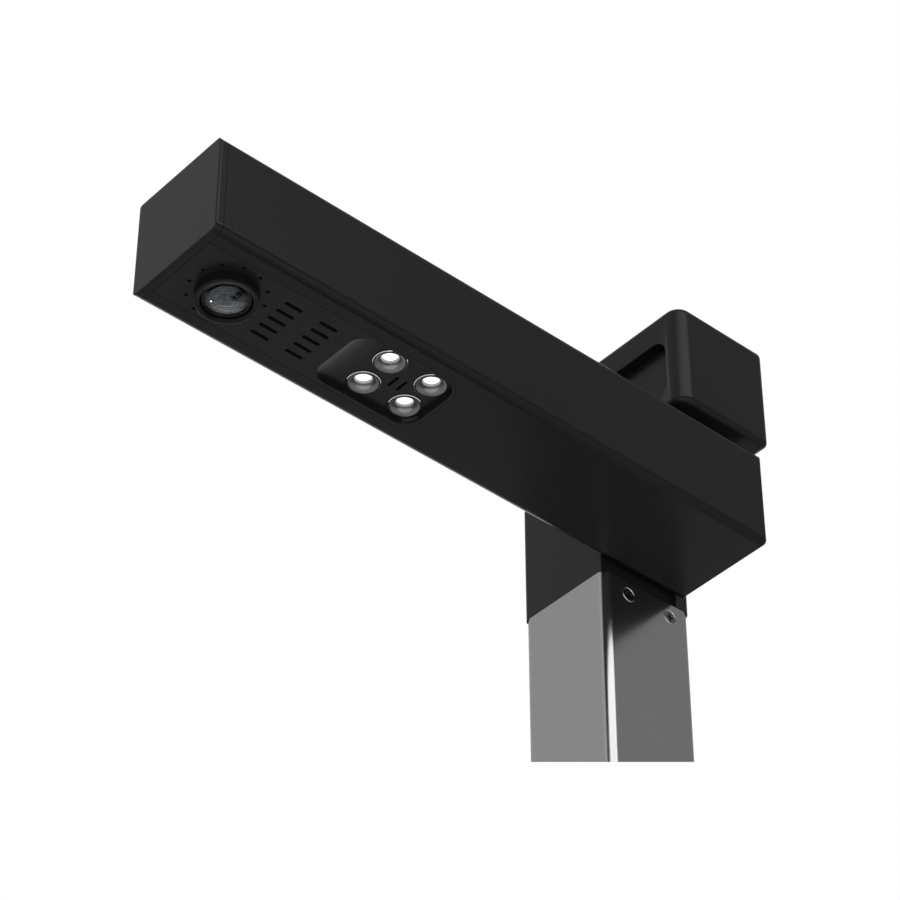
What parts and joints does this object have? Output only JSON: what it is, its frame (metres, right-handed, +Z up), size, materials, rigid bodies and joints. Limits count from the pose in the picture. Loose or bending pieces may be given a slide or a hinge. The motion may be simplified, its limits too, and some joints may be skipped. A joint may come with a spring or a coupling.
{
  "type": "overhead document scanner",
  "caption": "Desk scanner with a camera and lamp arm hinged beside a square column, a display box above the arm and a weighted base.",
  "frame": {"origin": "on the desk, on the axis of the square column, at the underside of the base pad", "axes": "+Z up, -Y towards the front, where the arm reaches; the arm hangs on the +X side of the column"},
  "size_m": [0.19, 0.3676, 0.5255],
  "materials": {
    "black_case": "fine-grained matte black",
    "black_arm": "black anodised, satin",
    "column": "grey anodised, satin",
    "neck": "black coated casting",
    "plate_steel": "zinc-plated sheet",
    "screw_steel": "bright plated",
    "dark_screw": "black oxide",
    "hinge_steel": "ground",
    "bearing_bronze": "sintered bronze",
    "friction_lining": "moulded friction lining",
    "rubber": "matte rubber",
    "barrel": "black anodised, bright chamfer",
    "lens_glass": "coated, polished",
    "display_glass": "dark tinted window",
    "board": "green solder mask",
    "lamp_board": "white solder mask",
    "reflector": "metallised",
    "diode": "phosphor",
    "heat_sink": "plain extruded",
    "module": "sheet metal can",
    "sensor": "sensor cover glass",
    "cable": "jacketed loom",
    "port_metal": "plated shell",
    "button": "satin button",
    "button_bright": "satin anodised",
    "strip": "gloss black"
  },
  "bodies": {
    "stand": {"base_pad": "rubber", "base_plate": "plate_steel", "base_screws": "dark_screw", "base_cover": "black_case", "control_strip": "strip", "button_board": "board", "port_board": "board", "data_port": "port_metal", "power_jack": "button", "tube_foot": "plate_steel", "foot_bolts": "dark_screw", "column_tube": "column", "column_screws": "screw_steel", "column_cable": "cable", "neck_block": "neck", "neck_cover": "black_case", "neck_cover_screws": "dark_screw", "hinge_bush": "bearing_bronze", "head_shell": "black_case", "head_cover": "black_case", "head_cover_screws": "dark_screw", "head_screws": "dark_screw", "display_window": "display_glass", "display_module": "module", "main_board": "board"},
    "arm": {"arm_shell": "black_arm", "front_cap": "black_case", "rear_cap": "black_case", "rear_cap_screws": "dark_screw", "underside_panel": "black_case", "lens_barrel": "barrel", "lens_cell": "barrel", "front_lens": "lens_glass", "rear_lens": "lens_glass", "camera_board": "board", "image_sensor": "sensor", "camera_screws": "screw_steel", "microphone_board": "board", "lamp_reflectors": "reflector", "lamp_diodes": "diode", "lamp_board": "lamp_board", "lamp_heat_sink": "heat_sink", "scan_board": "board", "heat_sink": "heat_sink", "hinge_bracket": "hinge_steel", "hinge_screws": "dark_screw", "hinge_shaft": "hinge_steel", "friction_disc": "friction_lining", "spring_washers": "hinge_steel", "hinge_nut": "hinge_steel"},
    "scan_button": {"scan_button": "button_bright"},
    "power_button": {"power_button": "button"},
    "lamp_button": {"lamp_button": "button"}
  },
  "joints": [
    {"name": "arm_fold", "type": "hinge", "parent": "stand", "child": "arm", "pos_m": [0.0598, 0.0017, 0.428], "axis": [1, 0, 0], "range_deg": [0, 90]},
    {"name": "scan_press", "type": "slide", "parent": "stand", "child": "scan_button", "axis": [0, 0, -1], "range_m": [0, 0.0012], "stiffness_N_per_m": 600, "springref_m": -0.0015},
    {"name": "power_press", "type": "slide", "parent": "stand", "child": "power_button", "axis": [0, 0, -1], "range_m": [0, 0.0012], "stiffness_N_per_m": 600, "springref_m": -0.0015},
    {"name": "lamp_press", "type": "slide", "parent": "stand", "child": "lamp_button", "axis": [0, 0, -1], "range_m": [0, 0.0012], "stiffness_N_per_m": 600, "springref_m": -0.0015}
  ]
}
